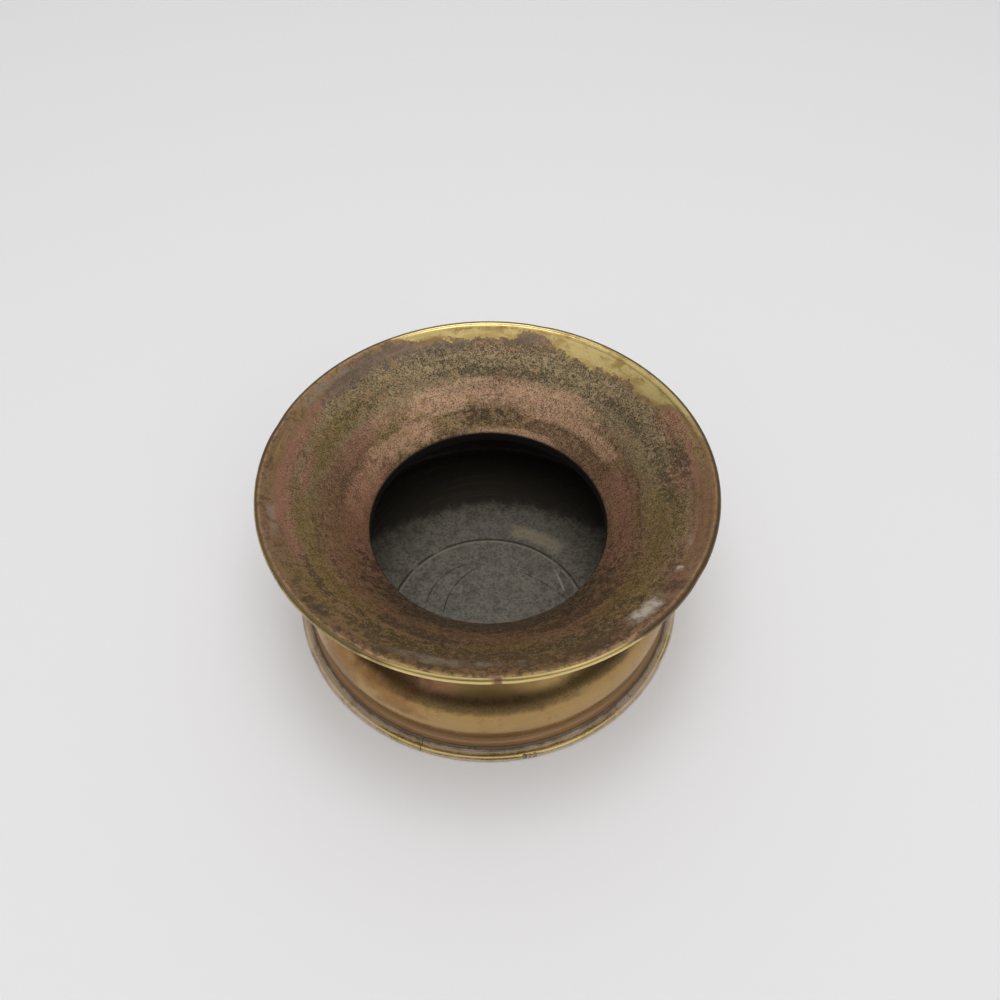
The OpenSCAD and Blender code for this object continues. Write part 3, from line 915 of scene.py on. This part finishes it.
class SPITTOON_OT_bowl(bpy.types.Operator):
    """Build the bellied bowl with its neck, coves and flange"""

    bl_idname = "spittoon.bowl"
    bl_label = "Bowl"

    def execute(self, context):
        s, c = context.scene.spittoon_sizes, context.scene.spittoon_colours
        outside = bowl_side(s, 0, BOWL_STEPS)
        inside = bowl_side(s, s.sheet, BOWL_INNER_STEPS)
        obj, v = spun("bowl", outside, inside, TURN_STEPS, BELLY_DINTS)
        z, outer = v["z"], 1 - v["inner"]
        store(
            obj,
            along=v["along"],
            inner=v["inner"],
            grime=np.maximum(ramp(z, *WAIST_FALL), SHOULDER_SHARE * ramp(z, *SHOULDER_RISE)) * outer,
            dull=ramp(z, *DULL_RISE) * outer,
            **{name: patches(v, places, "z") * outer for name, places in BELLY_PATCHES.items()},
        )
        place_piece(obj, "bowl_shell", polished_spun_brass(c))
        return {"FINISHED"}


def painted_shadow(r, theta):
    """Painted shadow on the back of the floor inside: 0.5 on the line y = 45 mm - 5.5 (x - 3 mm)^2 across the
    back, with x and y in metres, rising by 1 over 18 mm."""
    x, y = r * np.cos(theta), r * np.sin(theta)
    return np.clip(0.5 + (y - (45 * MM - 5.5 * (x - 3 * MM) ** 2)) / (18 * MM), 0, 1)


class SPITTOON_OT_pan(bpy.types.Operator):
    """Build the pan: floor, seat, ledge and rolled foot"""

    bl_idname = "spittoon.pan"
    bl_label = "Pan and foot"

    def execute(self, context):
        s, c = context.scene.spittoon_sizes, context.scene.spittoon_colours
        upper = pan_side(s, 0, PAN_STEPS)
        lower = pan_side(s, s.sheet, PAN_UNDER_STEPS)
        upper[:, 1] = np.maximum(upper[:, 1], 0)
        obj, v = spun("pan", upper, lower, PAN_TURN_STEPS, FOOT_DINTS)
        r, outer = v["r"], 1 - v["inner"]
        flange_r = flange_edge(s)
        foot_c = flange_r + s.ledge_w - s.foot_bead_r
        (rubbed,) = round_axis(v, FOOT_RUBBED)
        store(
            obj,
            along=v["along"],
            bare=around(r, foot_c + BARE_OUT * MM, BARE_W) * rubbed * outer,
            # Dirt and painted shade in the crease under the flange's edge
            grime=around(r, flange_r + CREASE_OUT * MM, CREASE_W, CREASE_TOP),
            groove=around(r, foot_c - s.groove_in, GROOVE_W, GROOVE_TOP) * outer,
            inner_floor=ramp(r - flange_r, *FLOOR_FALL),
            # Painted shadow over the back of the floor inside
            far_floor=painted_shadow(r, v["theta"]),
        )
        place_piece(obj, "base_pan", worn_foot_brass(c))
        return {"FINISHED"}


# Pieces that keep their CAD shape, by finish: nodes, two colours, roughness, metallic share, and width of the
# blots and depth of the bump in millimetres
KEPT_PIECES = {
    # Dark grey with a soft sheen
    "drawn_iron_wire": (("rim_wire", "foot_wire"), "iron", "soot", 0.45, 0.9, 3, 0.01),
    # Grey, dull and a little lumpy
    "aged_soft_solder": (("throat_solder", "cover_solder"), "solder", "umber", 0.55, 0.5, 2.5, 0.05),
    # Painted shade: the same solder, coloured nearly black like the wall inside
    "sooted_soft_solder": (("waist_solder",), "cellar", "soot", 0.6, 0.3, 2.5, 0.06),
    # Dark and grainy, as it leaves the sand
    "rough_cast_iron": (("ballast",), "iron", "soot", 0.7, 0.6, 2, 0.15),
    # Olive brown in large clouds
    "tarnished_sheet_brass": (("base_cover",), "olive", "umber", 0.42, 0.85, 14, 0.03),
}


class SPITTOON_OT_joints(bpy.types.Operator):
    """Finish the wires, the solder, the ballast and the cover"""

    bl_idname = "spittoon.joints"
    bl_label = "Wires, solder, ballast and cover"

    def execute(self, context):
        c = context.scene.spittoon_colours
        for finish, (nodes, colour, dark, *numbers) in KEPT_PIECES.items():
            material = dull_metal(finish, getattr(c, colour), getattr(c, dark), *numbers)
            for name in nodes:
                keep_node(name, material)
        return {"FINISHED"}


# Camera: focal length 820 of 1000 pixels, looking down at 51.5 degrees, from the fit to rim, throat and foot
SENSOR_MM = 36
LENS_MM = SENSOR_MM * 820 / 1000
PITCH = 0.8987
YAW = 0.0228
ROLL = 0.0096
# From the rim's centre, in rim radii
CAMERA_FROM_RIM = (0, -2.312, 2.7093)


def matrix_of(x, y, z, place):
    """A 4 by 4 matrix from three axes and a place."""
    m = np.identity(4)
    m[:3] = np.transpose([x, y, z, place])
    return Matrix(m.tolist())


def camera_axes():
    """Right, up and forward of the camera from its yaw, pitch and roll."""
    forward = np.array([math.sin(YAW) * math.cos(PITCH), math.cos(YAW) * math.cos(PITCH), -math.sin(PITCH)])
    level = np.array([math.cos(YAW), -math.sin(YAW), 0])
    up = np.cross(level, forward)
    right = math.cos(ROLL) * level + math.sin(ROLL) * up
    return right, math.cos(ROLL) * up - math.sin(ROLL) * level, forward


# The sky's strength at the horizon and overhead, the sines of elevation where it starts and ends to rise,
# and how late it rises in between
SKY_LOW, SKY_TOP = 0.1, 0.95
SKY_START, SKY_END = 0.1, 0.97
SKY_CURVE = 2.3
# Its strength as the camera sees it, for a plain pale background
BACKDROP = 0.8
# Soft places in it: azimuth, elevation, inner and outer radius in degrees, and what is added or, below 0,
# taken off
SKY_PLACES = [
    (-90, 22, 8, 34, -0.6),
    (-54, 37, 5, 19, 0.9),
    (-122, 35, 5, 20, 0.35),
    (90, 75, 4, 10, 3.2),
    (90, 10, 10, 62, 0.28),
]
# Half the width of the stage's floor, and the overhead lamp's place and width in metres and power in watts
FLOOR_HALF = 4
LAMP_PLACE, LAMP_W, LAMP_POWER = (0.05, -0.3, 2), 1.6, 14


class SPITTOON_OT_stage(bpy.types.Operator):
    """Set the floor, the lights, the world and the camera"""

    bl_idname = "spittoon.stage"
    bl_label = "Stage"

    def execute(self, context):
        scene = context.scene
        self.floor(scene, scene.spittoon_colours)
        self.world(scene)
        self.lamp(scene)
        self.camera(scene, scene.spittoon_sizes)
        scene.view_settings.view_transform = "Standard"
        return {"FINISHED"}

    def floor(self, scene, c):
        """A flat square with its face up."""
        mesh = bpy.data.meshes.new("stage_floor")
        corners = [(x * FLOOR_HALF, y * FLOOR_HALF, 0) for x, y in ((-1, -1), (1, -1), (1, 1), (-1, 1))]
        mesh.from_pydata(corners, [], [(0, 1, 2, 3)])
        obj = bpy.data.objects.new("stage_floor", mesh)
        scene.collection.objects.link(obj)
        mat, tree, shader = new_material("pale_matt_board")
        shader.inputs["Base Color"].default_value = srgb(c.floor)
        shader.inputs["Roughness"].default_value = 0.85
        mesh.materials.append(mat)

    def world(self, scene):
        """A room's light: bright overhead, dim at the horizon, with a few soft bright and dark places."""
        world = bpy.data.worlds.new("studio")
        world.use_nodes = True
        tree = world.node_tree
        tree.nodes.clear()
        where = add(tree, "ShaderNodeTexCoord", give="Generated")
        height = add(tree, "ShaderNodeSeparateXYZ", {0: where}, give="Z")
        climb = add(tree, "ShaderNodeMapRange", {0: height, 1: SKY_START, 2: SKY_END})
        curve = add(tree, "ShaderNodeMath", {0: climb, 1: SKY_CURVE}, operation="POWER")
        sky = add(tree, "ShaderNodeMapRange", {0: curve, 3: SKY_LOW, 4: SKY_TOP})
        for azimuth, elevation, inner, outer, gain in SKY_PLACES:
            a, e = math.radians(azimuth), math.radians(elevation)
            aim = (math.cos(a) * math.cos(e), math.sin(a) * math.cos(e), math.sin(e))
            near = add(tree, "ShaderNodeVectorMath", {0: where, 1: aim}, "Value", operation="DOT_PRODUCT")
            spot = between(tree, near, math.cos(math.radians(outer)), math.cos(math.radians(inner)))
            start, how = (1, "MULTIPLY") if gain < 0 else (0, "ADD")
            change = add(tree, "ShaderNodeMapRange", {0: spot, 3: start, 4: start + gain})
            sky = add(tree, "ShaderNodeMath", {0: sky, 1: change}, operation=how)
        seen = add(tree, "ShaderNodeLightPath", give="Is Camera Ray")
        strength = add(tree, "ShaderNodeMix", {0: seen, 2: sky, 3: BACKDROP}, data_type="FLOAT")
        glow = add(tree, "ShaderNodeBackground", {"Color": (1, 1, 1, 1), "Strength": strength})
        add(tree, "ShaderNodeOutputWorld", {"Surface": glow})
        scene.world = world

    def lamp(self, scene):
        """A square soft lamp overhead that faces the origin and isn't seen itself."""
        data = bpy.data.lights.new("overhead", "AREA")
        data.size = LAMP_W
        data.energy = LAMP_POWER
        obj = bpy.data.objects.new("overhead", data)
        obj.visible_camera = False
        obj.visible_glossy = False
        scene.collection.objects.link(obj)
        away = unit(LAMP_PLACE)
        side = unit(np.cross((0, 1, 0.01), away))
        obj.matrix_world = matrix_of(side, np.cross(away, side), away, LAMP_PLACE)

    def camera(self, scene, s):
        """The camera at the photograph's place and angle, over the rim's centre."""
        data = bpy.data.cameras.new("camera")
        data.sensor_width = SENSOR_MM
        data.lens = LENS_MM
        obj = bpy.data.objects.new("camera", data)
        scene.collection.objects.link(obj)
        right, up, forward = camera_axes()
        place = np.array(CAMERA_FROM_RIM) * s.rim_r + (0, 0, s.height - s.rim_bead_r)
        obj.matrix_world = matrix_of(right, up, -forward, place)
        scene.camera = obj


class SPITTOON_PT_panel(bpy.types.Panel):
    """Lists the steps that build the spittoon"""

    bl_idname = "SPITTOON_PT_panel"
    bl_label = "Spittoon"
    bl_space_type = "VIEW_3D"
    bl_region_type = "UI"
    bl_category = "Spittoon"

    def draw(self, context):
        for operator in OPERATORS:
            self.layout.operator(operator.bl_idname)


OPERATORS = (SPITTOON_OT_mouth, SPITTOON_OT_bowl, SPITTOON_OT_pan, SPITTOON_OT_joints, SPITTOON_OT_stage)
CLASSES = (SpittoonSizes, SpittoonColours, *OPERATORS, SPITTOON_PT_panel)


def register():
    """Adds the classes and the scene's settings."""
    for cls in CLASSES:
        bpy.utils.register_class(cls)
    bpy.types.Scene.spittoon_sizes = bpy.props.PointerProperty(type=SpittoonSizes)
    bpy.types.Scene.spittoon_colours = bpy.props.PointerProperty(type=SpittoonColours)


def unregister():
    """Removes them again."""
    del bpy.types.Scene.spittoon_sizes
    del bpy.types.Scene.spittoon_colours
    for cls in reversed(CLASSES):
        bpy.utils.unregister_class(cls)


def main():
    """Builds the pieces and the stage."""
    register()
    bpy.ops.spittoon.mouth()
    bpy.ops.spittoon.bowl()
    bpy.ops.spittoon.pan()
    bpy.ops.spittoon.joints()
    bpy.ops.spittoon.stage()


if __name__ == "__main__":
    main()
